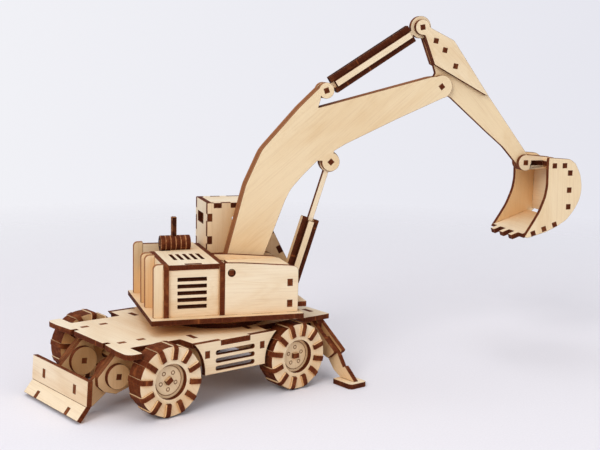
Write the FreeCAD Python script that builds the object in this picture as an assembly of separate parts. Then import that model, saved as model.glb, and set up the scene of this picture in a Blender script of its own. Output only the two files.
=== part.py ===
import FreeCAD, Part
import math
import os

# Toy wheeled excavator, a laser-cut plywood kit, in millimetres with +Z up.
# The chassis is drawn with the wheelbase centre on the ground at the origin, the blade
# towards -X (front), the outriggers towards +X (rear) and the left side at -Y.
# The superstructure ("house") is drawn about its own slew axis with the boom towards +X,
# the cab at +Y (its left), then turned. Each part is finally moved so that the origin
# lies at the middle of the whole toy's footprint.
#
# A span is a (low, high) pair. An outline is a closed list of (a, b[, corner radius]),
# where a and b are the two axes that name the plate's plane.

os.makedirs("parts", exist_ok=True)
Vector = FreeCAD.Vector

# ---------------------------------------------------------------- shared sizes
PLY = 3.0                # sheet thickness
GAP = 0.05               # running gap on each face of a moving layer
STRIP = 3.0              # side of the square pin strip
PIN_HOLE_R = 2.2         # round hole a square strip turns in

FOOTPRINT_X = 77.039     # middle of the finished toy's footprint
FOOTPRINT_Y = -18.245

HALF_WHEELBASE = 43.5
AXLE_Z = 20.0
DECK_Z = 37.0            # deck top
DECK_UNDER = DECK_Z - PLY
SKIRT_Y = 47.1           # outer face of the side skirts
SKIRT_INNER = SKIRT_Y - PLY
BLADE_PIVOT = (-60.8, 19.5)       # x, z
OUTRIGGER_PIVOT = (27.0, 29.0)    # y, z
OUTRIGGER_X = (74.0, 77.0)        # layer of the outrigger legs

SLEW_X = 20.0            # slew axis
HOUSE_TURN = -21.45      # degrees; swings the boom towards -Y
PLATFORM_Z = 46.2        # platform top

# Linkage pivots in the house frame (x, z)
BOOM_FOOT = (0.6, 70.6)
BOOM_CYL_FOOT = (44.8, 52.2)
BOOM_CYL_HEAD = (69.3, 129.5)
STICK_CYL_FOOT = (65.5, 172.2)
STICK_CYL_HEAD = (126.1, 210.9)
STICK_PIVOT = (140.3, 175.2)
BUCKET_PIVOT = (201.0, 127.6)


# ---------------------------------------------------------------- spans and lines
def layer(start):
    """Span of one sheet."""
    return (start, start + PLY)


def around(middle, half):
    return (middle - half, middle + half)


def mirrored(span):
    """The span and its mirror image about zero."""
    return [span, (-span[1], -span[0])]


def line_from(start, end):
    """Line as its start and unit direction (a, b, da, db)."""
    run, rise = end[0] - start[0], end[1] - start[1]
    length = math.hypot(run, rise)
    return (start[0], start[1], run / length, rise / length)


def beside(line, distance, offset):
    """Point at a distance along a line and an offset to the left of it."""
    a, b, da, db = line
    return (a + da * distance - db * offset, b + db * distance + da * offset)


# ---------------------------------------------------------------- shapes
def to_space(plane, offset):
    """Function placing (a, b) on a plane, and the plane's normal."""
    if plane == 'xz':
        return (lambda a, b: Vector(a, offset, b)), Vector(0, 1, 0)
    if plane == 'yz':
        return (lambda a, b: Vector(offset, a, b)), Vector(1, 0, 0)
    return (lambda a, b: Vector(a, b, offset)), Vector(0, 0, 1)


def round_corner(before, corner, after):
    """Start, middle and end of a corner's arc; the middle is None if it stays sharp."""
    a, b, radius = corner
    back_a, back_b = before[0] - a, before[1] - b
    on_a, on_b = after[0] - a, after[1] - b
    back_length = math.hypot(back_a, back_b)
    on_length = math.hypot(on_a, on_b)
    back_a, back_b = back_a / back_length, back_b / back_length
    on_a, on_b = on_a / on_length, on_b / on_length
    angle = math.acos(max(-1.0, min(1.0, back_a * on_a + back_b * on_b)))
    if radius <= 0 or angle > 3.1:
        return (a, b), None, (a, b)
    # The arc takes at most 0.48 of either side, so that neighbours never meet.
    trim = min(radius / math.tan(angle / 2), 0.48 * min(back_length, on_length))
    radius = trim * math.tan(angle / 2)
    depth = radius / math.sin(angle / 2) - radius
    mid_a, mid_b = back_a + on_a, back_b + on_b
    mid_length = math.hypot(mid_a, mid_b)
    return ((a + back_a * trim, b + back_b * trim),
            (a + mid_a / mid_length * depth, b + mid_b / mid_length * depth),
            (a + on_a * trim, b + on_b * trim))


def plate(plane, span, outline):
    """Flat plate of an outline, filling the span across its plane."""
    place, normal = to_space(plane, span[0])
    points = [(p[0], p[1], p[2] if len(p) > 2 else 0.0) for p in outline]
    count = len(points)
    corners = [round_corner(points[i - 1], points[i], points[(i + 1) % count])
               for i in range(count)]
    edges = []
    for i, (start, middle, end) in enumerate(corners):
        if middle is not None:
            edges.append(Part.Arc(place(*start), place(*middle), place(*end)).toShape())
        following = corners[(i + 1) % count][0]
        if math.hypot(following[0] - end[0], following[1] - end[1]) > 1e-6:
            edges.append(Part.LineSegment(place(*end), place(*following)).toShape())
    return Part.Face(Part.Wire(edges)).extrude(normal * (span[1] - span[0]))


def disc(plane, span, centre, radius):
    place, normal = to_space(plane, span[0])
    return Part.makeCylinder(radius, span[1] - span[0], place(*centre), normal)


def rect(plane, span, centre, width, height, turn=0.0):
    """Rectangular plate turned about its centre by an angle in degrees."""
    c, s = math.cos(math.radians(turn)), math.sin(math.radians(turn))
    x, y = width / 2, height / 2
    return plate(plane, span, [(centre[0] + a * c - b * s, centre[1] + a * s + b * c)
                               for a, b in ((-x, -y), (x, -y), (x, y), (-x, y))])


def pin(half_or_span, centre, turn=0.0):
    """Square strip along Y, given by its half length or its span."""
    span = half_or_span if isinstance(half_or_span, tuple) else around(0, half_or_span)
    return rect('xz', span, centre, STRIP, STRIP, turn)


def slot(plane, span, centre, width, height):
    """Slot with round ends."""
    a, b = centre
    x, y, radius = width / 2, height / 2, height / 2.02
    return plate(plane, span, [(a - x, b - y, radius), (a + x, b - y, radius),
                               (a + x, b + y, radius), (a - x, b + y, radius)])


def strip(y_span, line, reach, offsets):
    """Plate in XZ with two sides parallel to a line."""
    return plate('xz', y_span, [beside(line, reach[0], offsets[0]),
                                beside(line, reach[1], offsets[0]),
                                beside(line, reach[1], offsets[1]),
                                beside(line, reach[0], offsets[1])])


def box(x_span, y_span, z_span):
    sizes = [high - low for low, high in (x_span, y_span, z_span)]
    return Part.makeBox(*sizes, Vector(x_span[0], y_span[0], z_span[0]))


def flat(pieces):
    """One list from a mix of shapes and lists of shapes."""
    shapes = []
    for piece in pieces:
        shapes.extend(piece if isinstance(piece, list) else [piece])
    return shapes


def join(shapes):
    joined = shapes[0]
    for other in shapes[1:]:
        joined = joined.fuse(other)
    return joined.removeSplitter()


def less(shape, *tools):
    for tool in flat(tools):
        shape = shape.cut(tool)
    return shape


def mirror_y(shape):
    return shape.mirror(Vector(0, 0, 0), Vector(0, 1, 0))


def save(name, *pieces):
    """Write one file with the separate solids of a part."""
    solids = [solid for shape in flat(pieces) for solid in shape.Solids]
    part = Part.makeCompound(solids) if len(solids) > 1 else solids[0]
    part = part.copy()
    part.translate(Vector(-FOOTPRINT_X, -FOOTPRINT_Y, 0))
    part.exportStep("parts/%s.step" % name)


def save_house(name, *pieces):
    """Turn house pieces onto the slew axis and write them."""
    placed = []
    for shape in flat(pieces):
        shape = shape.copy()
        shape.rotate(Vector(0, 0, 0), Vector(0, 0, 1), HOUSE_TURN)
        shape.translate(Vector(SLEW_X, 0, 0))
        placed.append(shape)
    save(name, placed)


# ================================================================ chassis
DECK_OUTLINE = [         # -Y half: x, y, corner radius
    (-65.8, 0), (-65.8, -16.2), (-62.4, -16.2), (-62.4, -19.2), (-66.1, -19.2, 0.8),
    (-67.6, -34, 8), (-67.5, -45.9, 4.5), (-58.4, -46.0, 0.8), (-58.4, -32.8, 1.0),
    (-26.6, -32.8, 1.0), (-26.0, -SKIRT_INNER), (-9.0, -SKIRT_INNER), (-9.0, -SKIRT_Y),
    (11.0, -SKIRT_Y), (11.0, -SKIRT_INNER), (25.4, -SKIRT_INNER), (26.6, -32.8, 1.0),
    (58.4, -32.8), (62.0, -33.6, 3.0), (81.6, -33.6, 1.2), (81.6, 0)]
deck = plate('xy', (DECK_UNDER, DECK_Z), DECK_OUTLINE)
deck = join([deck, mirror_y(deck)])

# Side skirts, cut round at both ends to clear the wheels, with three long slots
SKIRT_LEFT = (-SKIRT_Y, -SKIRT_INNER)
skirt = box((-34, 33.6), SKIRT_LEFT, (18.4, DECK_Z))
for wheel_x, clearance_r in ((-HALF_WHEELBASE, 23.9), (HALF_WHEELBASE, 21.7)):
    skirt = less(skirt, disc('xz', (-80, 80), (wheel_x, AXLE_Z), clearance_r))
skirt = less(skirt, deck)
for z in (30.2, 25.7, 21.3):
    skirt = less(skirt, slot('xz', (-SKIRT_Y - 1, -SKIRT_INNER + 1), (0.9, z), 26.6, 2.5))

# Crossmembers with an arched underside and tabs through the deck and both skirts
ARCH_OUTLINE = [(-16, 22), (-16, 29, 3), (16, 29, 3), (16, 22)]
crossmembers = []
for middle_x in (-18.0, 19.6):
    x_span = around(middle_x, PLY / 2)
    body = box(x_span, around(0, SKIRT_INNER), (23.0, DECK_UNDER))
    body = less(body, plate('yz', around(middle_x, 2), ARCH_OUTLINE))
    tabs = [box(x_span, y_span, (DECK_UNDER - 1, DECK_Z)) for y_span in mirrored((-35.7, -27.7))]
    tabs += [box(x_span, y_span, (28.0, 32.0)) for y_span in mirrored((-SKIRT_Y, -44))]
    crossmembers.append(join([body] + tabs))
skirt = less(skirt, crossmembers)

# Axle hangers; the front pair also holds the blade pivot
HANGER_LEFT = (-22.3, -19.3)
FRONT_HANGER_OUTLINE = [
    (-60.8, DECK_UNDER), (-60.4, 32.0, 1.0), (-72.2, 19.9, 2.0), (-71.8, 15.0, 1.5),
    (-68.4, 11.6, 1.5), (-61.0, 9.2, 2), (-53.5, 11.5, 3), (-49.5, 14.5, 2), (-43.5, 13.4, 4),
    (-37.0, 16.5, 3), (-35.5, DECK_UNDER)]
REAR_HANGER_OUTLINE = [(30.0, DECK_UNDER), (36.0, 17.0, 4), (43.5, 12.6, 5), (51.0, 17.0, 4),
                       (57.0, DECK_UNDER)]


def hanger(outline, tab_xs, tab_length, axle_x):
    tabs = [rect('xz', HANGER_LEFT, (x, DECK_Z - 2), tab_length, 4.0) for x in tab_xs]
    body = join([plate('xz', HANGER_LEFT, outline)] + tabs)
    return less(body, disc('xz', (-30, 0), (axle_x, AXLE_Z), 2.6))


front_hanger = hanger(FRONT_HANGER_OUTLINE, (-56.4, -44.3), 4.6, -HALF_WHEELBASE)
front_hanger = less(front_hanger, disc('xz', (-30, 0), BLADE_PIVOT, PIN_HOLE_R))
rear_hanger = hanger(REAR_HANGER_OUTLINE, (38.0, 49.0), 5.0, HALF_WHEELBASE)
hangers = [front_hanger, mirror_y(front_hanger), rear_hanger, mirror_y(rear_hanger)]

# Outrigger carrier across the tail
PIVOT_Y, PIVOT_Z = OUTRIGGER_PIVOT
EYE_R = 4.6              # material round the outrigger pivot
SHOULDER_Z = DECK_UNDER - 0.4
CARRIER_OUTLINE = [
    (-PIVOT_Y - EYE_R, PIVOT_Z - EYE_R, 4.4), (-16, 22.5, 3), (16, 22.5, 3),
    (PIVOT_Y + EYE_R, PIVOT_Z - EYE_R, 4.4), (PIVOT_Y + EYE_R, SHOULDER_Z, 1),
    (24.5, SHOULDER_Z), (24.5, DECK_UNDER), (-24.5, DECK_UNDER), (-24.5, SHOULDER_Z),
    (-PIVOT_Y - EYE_R, SHOULDER_Z, 1)]
carrier = join([plate('yz', OUTRIGGER_X, CARRIER_OUTLINE)] +
               [rect('yz', OUTRIGGER_X, (y, DECK_Z - 2), 8.0, 4.0) for y in (-19.6, 19.6)])
outrigger_pins = [rect('yz', (OUTRIGGER_X[0] - PLY, OUTRIGGER_X[1] + PLY), (y, PIVOT_Z),
                       STRIP, STRIP) for y in (-PIVOT_Y, PIVOT_Y)]
carrier = less(carrier, outrigger_pins)

# Kingpin with its head just above the platform
KINGPIN_HEAD_Z = PLATFORM_Z + 0.06
kingpin = join([disc('xy', (DECK_UNDER, KINGPIN_HEAD_Z), (SLEW_X, 0), 3.0),
                disc('xy', layer(KINGPIN_HEAD_Z), (SLEW_X, 0), 4.6)])
lower_disc = less(disc('xy', layer(DECK_Z), (SLEW_X, 0), 30.0), kingpin)
deck = less(deck, crossmembers, hangers, carrier, kingpin)

save('deck_plate', deck)
save('side_skirts', skirt, mirror_y(skirt))
save('crossmembers', crossmembers)
save('axle_hangers', hangers)
save('outrigger_carrier', carrier)
save('outrigger_pins', outrigger_pins)
save('turntable_base', lower_disc, kingpin)

# ================================================================ wheels
TYRE_OUTER = 50.3        # outer tyre face from the centre plane
TYRE_R = 19.2
HUB_RECESS_R = 9.8
LUG_COUNT = 12
LUG_R = 19.94            # over the lugs' flat ends
LUG_OUTLINE = [(36.9, 12.0, 0.8), (51.7, 12.0, 0.8), (51.7, LUG_R, 2.6), (36.9, LUG_R, 2.6)]
AXLE_X = (-2.0, 2.0)
AXLE_THICK = (-1.5, 1.5)
Y_AXIS = Vector(0, 1, 0)


def tyre_disc(number):
    """One of four tyre sheets, 0 outermost."""
    y = TYRE_OUTER - (number + 1) * PLY
    sheet = disc('xz', layer(y), (0, 0), TYRE_R)
    if number in (0, 3):
        return less(sheet, disc('xz', (y - 1, y + PLY + 1), (0, 0), HUB_RECESS_R))
    if number == 1:
        # Engraved face: a ring of five small circles inside one large circle
        face = y + PLY
        depth = (face - 0.35, face + 0.65)
        for i in range(5):
            angle = math.radians(90 + 72 * i)
            centre = (4.9 * math.cos(angle), 4.9 * math.sin(angle))
            sheet = less(sheet, disc('xz', depth, centre, 1.15).cut(
                disc('xz', depth, centre, 0.8)))
        depth = (face - 0.3, face + 0.7)
        sheet = less(sheet, disc('xz', depth, (0, 0), 8.35).cut(
            disc('xz', depth, (0, 0), 8.0)))
    return sheet


def lug(number):
    """Radial plank let into the tyre sheets."""
    plank = plate('yz', around(0, PLY / 2), LUG_OUTLINE)
    plank.rotate(Vector(0, 0, 0), Y_AXIS, -(number * 360 / LUG_COUNT - 12.5 - 90.0))
    return plank


def on_axle(shape, turn, axle_x):
    shape = shape.copy()
    shape.rotate(Vector(0, 0, 0), Y_AXIS, -turn)
    shape.translate(Vector(axle_x, 0, AXLE_Z))
    return shape


lugs = [lug(i) for i in range(LUG_COUNT)]
axle_hole = box(AXLE_X, (20, 60), AXLE_THICK)
tyre_discs = [less(tyre_disc(i), lugs, axle_hole) for i in range(4)]
axle = box(AXLE_X, around(0, TYRE_OUTER - 1.2), AXLE_THICK)

for end, axle_x, turn in (('front', -HALF_WHEELBASE, 34.5), ('rear', HALF_WHEELBASE, 0.0)):
    for kind, shapes in (('tyre_discs', tyre_discs), ('lugs', lugs)):
        save('%s_left_%s' % (end, kind), [on_axle(mirror_y(s), turn, axle_x) for s in shapes])
        save('%s_right_%s' % (end, kind), [on_axle(s, turn, axle_x) for s in shapes])
    save('%s_axle' % end, on_axle(axle, turn, axle_x))

# ================================================================ blade
ARM_LEFT = (-19.2, -16.2)
ARM_OUTLINE = [
    (-61.0, 31.0, 1.0), (-54.0, 30.8, 4.0), (-51.6, 20.0, 8.0), (-55.0, 12.0, 5.0),
    (-63.0, 11.6, 4.0), (-70.0, 6.4, 4.0), (-74.0, 3.6, 3.0), (-84.3, 3.4), (-87.0, 4.0),
    (-81.2, 9.6), (-80.6, 20.5, 1.5), (-77.8, 20.5, 2.0), (-74.8, 17.2, 1.5)]
UPPER_TAB_OUTLINE = [(-83.7, 12.2), (-80.0, 12.0), (-79.7, 17.2), (-83.36, 17.4)]
LOWER_TAB_OUTLINE = [(-86.7, 5.31), (-89.5, 1.9), (-87.2, 0.3), (-83.6, 4.53), (-82.6, 6.8)]
BLADE_UPPER_OUTLINE = [(-83.1, 22.4), (-84.0, 8.6), (-81.0, 8.4), (-80.1, 22.2)]
BLADE_LOWER_OUTLINE = [(-84.0, 8.6), (-89.5, 1.9), (-87.2, 0.3), (-81.42, 7.34), (-81.0, 8.4)]
BLADE_NOTCH_OUTLINE = [(-88.09, 6.14), (-91.32, 2.2), (-87.5, -2.0), (-83.27, 2.86)]

blade_upper = plate('xz', around(0, 31.8), BLADE_UPPER_OUTLINE)
blade_lower = plate('xz', around(0, 31.2), BLADE_LOWER_OUTLINE)
for y_span in mirrored(ARM_LEFT):
    blade_lower = less(blade_lower, plate('xz', y_span, BLADE_NOTCH_OUTLINE))
    blade_upper = less(blade_upper, rect('xz', y_span, (-82.6, 14.8), 5.4, 5.0, -4.0))

# Pivot strips with an inner disc against each arm and an outer one against each hanger
INNER_DISC_Y = (ARM_LEFT[1], ARM_LEFT[1] + PLY)
OUTER_DISC_Y = (HANGER_LEFT[0] - GAP - PLY, HANGER_LEFT[0] - GAP)
pivot_x, pivot_z = BLADE_PIVOT
pivot_strips = []
for y_span in mirrored((OUTER_DISC_Y[0], INNER_DISC_Y[1])):
    piece = box(around(pivot_x, STRIP / 2), y_span, around(pivot_z, STRIP / 2))
    piece.rotate(Vector(pivot_x, 0, pivot_z), Y_AXIS, 8.0)
    pivot_strips.append(piece)
pivot_discs = [less(disc('xz', y_span, BLADE_PIVOT, radius), pivot_strips)
               for left_span, radius in ((INNER_DISC_Y, 8.2), (OUTER_DISC_Y, 7.0))
               for y_span in mirrored(left_span)]

blade_arm = join([plate('xz', ARM_LEFT, ARM_OUTLINE), plate('xz', ARM_LEFT, UPPER_TAB_OUTLINE)])
blade_arm = join([blade_arm, plate('xz', ARM_LEFT, LOWER_TAB_OUTLINE)])
blade_arm = less(blade_arm, pivot_strips, blade_upper, blade_lower)

save('blade_arms', blade_arm, mirror_y(blade_arm))
save('blade_upper_plate', blade_upper)
save('blade_lower_plate', blade_lower)
save('blade_pivot_strip', pivot_strips)
save('blade_pivot_discs', pivot_discs)

# ================================================================ outriggers
# Drawn on the right (+Y); both outlines start from the leg's line
leg_line = line_from(OUTRIGGER_PIVOT, (60.0, 3.0))
SLEEVE_OUTLINE = [
    beside(leg_line, 0, EYE_R), (51.2, 18.2, 1.0), (45.2, 13.2, 1.0), (41.0, 14.3, 0.8),
    beside(leg_line, 0, -EYE_R)]
LEG_OUTLINE = [
    beside(leg_line, 12, 4.0), (50.3, 17.0), (55.6, 9.6), (57.2, 10.6), (66.2, 3.0),
    (53.6, 3.0), (47.2, 6.2, 2.0), (41.6, 12.6), beside(leg_line, 12, -4.0)]
PAD_OUTLINE = [(68.4, 52.8, 1.2), (81.4, 52.8, 1.2), (81.4, 69.3, 2.5), (68.4, 69.3, 2.5)]

leg_span = (OUTRIGGER_X[0] - GAP, OUTRIGGER_X[1] + GAP)
sleeves = []
for start_x in (leg_span[0] - PLY, leg_span[1]):
    sleeve = join([plate('yz', layer(start_x), SLEEVE_OUTLINE),
                   disc('yz', layer(start_x), OUTRIGGER_PIVOT, EYE_R)])
    sleeves.append(less(sleeve, disc('yz', (start_x - 1, start_x + PLY + 1),
                                     OUTRIGGER_PIVOT, PIN_HOLE_R)))
leg = join([plate('yz', leg_span, LEG_OUTLINE), rect('yz', OUTRIGGER_X, (59.5, 2.0), 7.0, 4.0)])
foot_pad = less(plate('xy', (0.0, PLY), PAD_OUTLINE), leg)

for name, shapes in (('outrigger_sleeve', sleeves), ('outrigger_leg', [leg]),
                     ('foot_pad', [foot_pad])):
    save('left_' + name, [mirror_y(s) for s in shapes])
    save('right_' + name, shapes)

# ================================================================ house
PLATFORM_Y = 40.7        # half width
ENGINE_TOP = 76.1
REAR_X = (-38.3, -35.3)  # engine rear plate
MIDDLE_X = (-6.3, -3.3)  # engine middle plate
MIDDLE_FRONT = MIDDLE_X[1]
ENGINE_X = (REAR_X[1], MIDDLE_X[0])
ENGINE_Y = 35.8          # half width of the engine plates

PLATFORM_OUTLINE = [(-46.0, -PLATFORM_Y, 0.6), (42.6, -PLATFORM_Y, 0.6),
                    (42.6, PLATFORM_Y, 0.6), (-46.0, PLATFORM_Y, 0.6)]
kingpin_hole = disc('xy', (36, 56), (0, 0), 3.06)
platform = less(plate('xy', (PLATFORM_Z - PLY, PLATFORM_Z), PLATFORM_OUTLINE), kingpin_hole)
upper_disc = less(disc('xy', (DECK_Z + PLY + 0.1, PLATFORM_Z - PLY), (0, 0), 27.0),
                  kingpin_hole)


def floor_tab(x_span, y_span):
    """Tab through the platform."""
    return box(x_span, y_span, (PLATFORM_Z - PLY, PLATFORM_Z + 1))


# ---------------------------------------------------------------- engine bay
REAR_OUTLINE = [(-ENGINE_Y, PLATFORM_Z), (-ENGINE_Y, ENGINE_TOP, 4.0), (9.5, ENGINE_TOP),
                (9.5, 62.0, 2.0), (ENGINE_Y, 62.0, 1.0), (ENGINE_Y, PLATFORM_Z)]
MIDDLE_OUTLINE = [(-ENGINE_Y, PLATFORM_Z), (-ENGINE_Y, ENGINE_TOP, 4.0),
                  (ENGINE_Y, ENGINE_TOP, 4.0), (ENGINE_Y, PLATFORM_Z)]
rear_plate = join([plate('yz', REAR_X, REAR_OUTLINE)] +
                  [floor_tab(REAR_X, y_span) for y_span in mirrored((-24, -14))])
middle_plate = join([plate('yz', MIDDLE_X, MIDDLE_OUTLINE)] +
                    [floor_tab(MIDDLE_X, y_span) for y_span in mirrored((-26, -16))])

# Louvred panels: five pockets in the outer face; the left one is raised at the rear
LOUVRE_RIGHT, LOUVRE_LEFT = mirrored((-34.3, -31.3))
cover_under = ENGINE_TOP - PLY
right_louvre = box(ENGINE_X, LOUVRE_RIGHT, (PLATFORM_Z, cover_under))
for i in range(5):
    right_louvre = less(right_louvre,
                        rect('xz', (-36, -32.1), (-21.8, 67.6 - 3.9 * i), 16.6, 2.0))
right_louvre = join([right_louvre,
                     box((-25.8, -16.2), LOUVRE_RIGHT, (cover_under - 1, ENGINE_TOP)),
                     floor_tab((-28, -14), LOUVRE_RIGHT)])
raised_top = ENGINE_TOP + 0.7
left_louvre = join([mirror_y(right_louvre),
                    box((REAR_X[1], -26.0), LOUVRE_LEFT, (cover_under - 1, raised_top)),
                    box((REAR_X[0], -34.0), LOUVRE_LEFT, (62.0, raised_top))])

# Cover with an open rear left corner and five pockets
cover = box(ENGINE_X, around(0, 34.9), (cover_under, ENGINE_TOP))
cover = less(cover, box((REAR_X[1] - 1, -25.5), (9.5, 36), (70, 80)))
for i in range(5):
    cover = less(cover, rect('xy', (ENGINE_TOP - 2.2, 80), (-28.3 + 4.0 * i, -11.2), 1.9, 17.5))

FINS = ((-34.8, 0.5), (-8.05, 1.0), (5.05, -0.2), (31.3, 1.9))  # y, height over engine top
fins = []
for y, extra in FINS:
    top = ENGINE_TOP + extra
    fin = plate('xz', layer(y), [(-43.9, PLATFORM_Z), (-43.9, top, 4.0), (REAR_X[0], top),
                                 (REAR_X[0], PLATFORM_Z)])
    fins.append(join([fin, box((REAR_X[0] - 1, REAR_X[1]), layer(y), (56, 63)),
                      floor_tab((-43.0, -39.5), layer(y))]))
left_louvre = less(left_louvre, fins[3])

# Muffler: a row of discs on a square strip, with the exhaust strip standing through them
MUFFLER_COUNT = 6
MUFFLER_START = -31.15
MUFFLER_PITCH = 3.02
MUFFLER_Y, MUFFLER_Z = 14.0, ENGINE_TOP + 3.75
muffler_end = MUFFLER_START + (MUFFLER_COUNT - 1) * MUFFLER_PITCH + PLY
exhaust = box((-24.2, -21.2), around(MUFFLER_Y, STRIP / 2), (cover_under, 95.8))
spindle = less(box((MUFFLER_START, muffler_end), around(MUFFLER_Y, STRIP / 2),
                   around(MUFFLER_Z, STRIP / 2)), exhaust)
muffler = [less(disc('yz', layer(MUFFLER_START + MUFFLER_PITCH * i), (MUFFLER_Y, MUFFLER_Z),
                     4.75), exhaust, spindle) for i in range(MUFFLER_COUNT)]
cover = less(cover, right_louvre, left_louvre, exhaust, fins[3], muffler)
rear_plate = less(rear_plate, fins, muffler)

# ---------------------------------------------------------------- right box and boom brackets
SIDE_Y = (-35.8, -32.8)
BRACKET_Y = (-8.05, -5.05)   # right-hand bracket
BOX_Y = (SIDE_Y[1], BRACKET_Y[0])
FRONT_X = (33.8, 36.8)
BOX_COVER_Z = (69.9, 72.9)
REAR_AND_TOP = [(MIDDLE_FRONT, PLATFORM_Z), (MIDDLE_FRONT, ENGINE_TOP + 0.3, 0.6),
                (8.0, ENGINE_TOP - 0.2)]
SIDE_OUTLINE = REAR_AND_TOP + [(35.2, 73.6, 1.0), (40.3, 72.6, 5.0), (40.3, PLATFORM_Z)]
BRACKET_OUTLINE = REAR_AND_TOP + [
    (35.2, 73.6, 4.0), (40.3, 67.0, 4.0), (41.0, 58.0, 3.0), (46.5, 57.0, 3.5),
    (49.2, 52.2, 3.6), (46.5, 47.8, 3.0), (42.9, 47.0), (42.6, PLATFORM_Z)]
FRONT_WINDOW = [(-28, 51.5, 2), (-13, 51.5, 2), (-13, 66, 2), (-28, 66, 2)]

side_panel = join([plate('xz', SIDE_Y, SIDE_OUTLINE), floor_tab((4, 13), SIDE_Y),
                   floor_tab((25, 34), SIDE_Y)])
right_bracket = join([plate('xz', BRACKET_Y, BRACKET_OUTLINE), floor_tab((2, 12), BRACKET_Y),
                      floor_tab((22, 32), BRACKET_Y),
                      box((MIDDLE_X[0], MIDDLE_FRONT + 1), BRACKET_Y, (56, 64))])
left_bracket = less(mirror_y(right_bracket),
                    box((MIDDLE_FRONT - 0.01, 9.9), (5.0, 8.1), (74.2, 80.0)))
boom_shaft = pin((SIDE_Y[0], -BRACKET_Y[0]), BOOM_FOOT)
shaft_hole = disc('xz', (-40, 12), BOOM_FOOT, PIN_HOLE_R)
foot_pin = pin(-BRACKET_Y[0], BOOM_CYL_FOOT)

front_plate = less(box(FRONT_X, BOX_Y, (PLATFORM_Z, BOX_COVER_Z[0])),
                   plate('yz', (33, 38), FRONT_WINDOW))
front_plate = join([front_plate] +
                   [box(FRONT_X, y_span, around(z, 2.0))
                    for y_span in ((SIDE_Y[0], -32), (-9, BRACKET_Y[1]))
                    for z in (63.6, 51.3)] +
                   [floor_tab(FRONT_X, (-25, -16))])
front_box_cover = plate('xy', BOX_COVER_Z, [
    (2.95, BOX_Y[0]), (36.6, BOX_Y[0], 0.5), (36.6, BOX_Y[1], 0.5), (2.95, BOX_Y[1])])
rear_box_cover = box((MIDDLE_FRONT, -1.75), BOX_Y, BOX_COVER_Z)
step = plate('xy', (48.2, 51.2), [
    (FRONT_X[1], -32.2), (46.9, -32.2, 1.0), (46.9, -11.0, 1.0), (FRONT_X[1], -11.0)])

side_panel = less(side_panel, shaft_hole, front_plate)
right_bracket = less(right_bracket, shaft_hole, foot_pin, front_plate)
left_bracket = less(left_bracket, shaft_hole, foot_pin)
# The round cut clears the kingpin's head
middle_plate = less(middle_plate, right_bracket, left_bracket,
                    disc('xy', (PLATFORM_Z - 0.1, PLATFORM_Z + 3.9), (0, 0), 5.2))

# ---------------------------------------------------------------- cab
CAB_Y = (9.5, PLATFORM_Y)
CAB_INNER_Y = (CAB_Y[0] + PLY, CAB_Y[1] - PLY)
CAB_TABS_Y = ((CAB_Y[0], CAB_Y[0] + 4), (CAB_Y[1] - 4, CAB_Y[1]))
CAB_TAB = 4.6            # tab length
CAB_TOP = 104.1
CAB_REAR_X = layer(MIDDLE_FRONT)
ROOF_Z = (CAB_TOP - PLY, CAB_TOP)
SCREEN_TOP, SCREEN_FOOT = (29.0, CAB_TOP), (48.0, 67.0)
CAB_WALL_OUTLINE = [
    (MIDDLE_FRONT, PLATFORM_Z), (MIDDLE_FRONT, CAB_TOP, 0.6), (*SCREEN_TOP, 0.8),
    (*SCREEN_FOOT, 1.0), (44.5, 58.5, 3), (40.3, 52.5, 2), (40.3, PLATFORM_Z)]
SIDE_WINDOW = [(11.6, 95.8, 1.2), (26.0, 95.8, 1.2), (34.2, 79.5, 1.5), (15.0, 79.5, 2.0)]
REAR_WINDOW = [(19.7, 90.0, 0.6), (34.7, 90.0, 0.6), (34.7, 96.4, 0.6), (19.7, 96.4, 0.6)]

cab_walls = []
for y in (CAB_Y[0], CAB_INNER_Y[1]):
    wall = less(plate('xz', layer(y), CAB_WALL_OUTLINE),
                plate('xz', (y - 1, y + PLY + 1), SIDE_WINDOW))
    cab_walls.append(join([wall, floor_tab((4, 14), layer(y)), floor_tab((24, 34), layer(y))]))

roof = join([box((CAB_REAR_X[1], 27.3), CAB_INNER_Y, ROOF_Z)] +
            [box((x, x + CAB_TAB), y_span, ROOF_Z)
             for x in (0.8, 11.2) for y_span in CAB_TABS_Y])

cab_rear = less(box(CAB_REAR_X, CAB_INNER_Y, (PLATFORM_Z, CAB_TOP)),
                plate('yz', (CAB_REAR_X[0] - 1, CAB_REAR_X[1] + 1), REAR_WINDOW))
cab_rear = join([cab_rear] + [box(CAB_REAR_X, y_span, (z, z + CAB_TAB))
                              for z in (93.0, 79.3, 60.0) for y_span in CAB_TABS_Y])

# The windscreen lies inside the walls' sloping front edge
screen_line = line_from(SCREEN_TOP, SCREEN_FOOT)
screen_length = math.dist(SCREEN_TOP, SCREEN_FOOT)
windscreen = less(
    strip(CAB_INNER_Y, screen_line, (3.4, screen_length - 0.5), (0, -PLY)),
    strip((CAB_INNER_Y[0] + 3.5, CAB_INNER_Y[1] - 3.5), screen_line,
          (8.0, screen_length - 12.0), (1, -PLY - 1)))
windscreen = join([windscreen] + [strip(y_span, screen_line, (s, s + CAB_TAB), (0, -PLY))
                                  for s in (7.2, 16.6, 30.0) for y_span in CAB_TABS_Y])
roof = less(roof, windscreen, cab_rear)
cab_walls = [less(wall, roof, cab_rear, windscreen) for wall in cab_walls]
platform = less(platform, rear_plate, middle_plate, right_louvre, left_louvre, fins,
                side_panel, right_bracket, left_bracket, front_plate, cab_walls)

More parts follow.
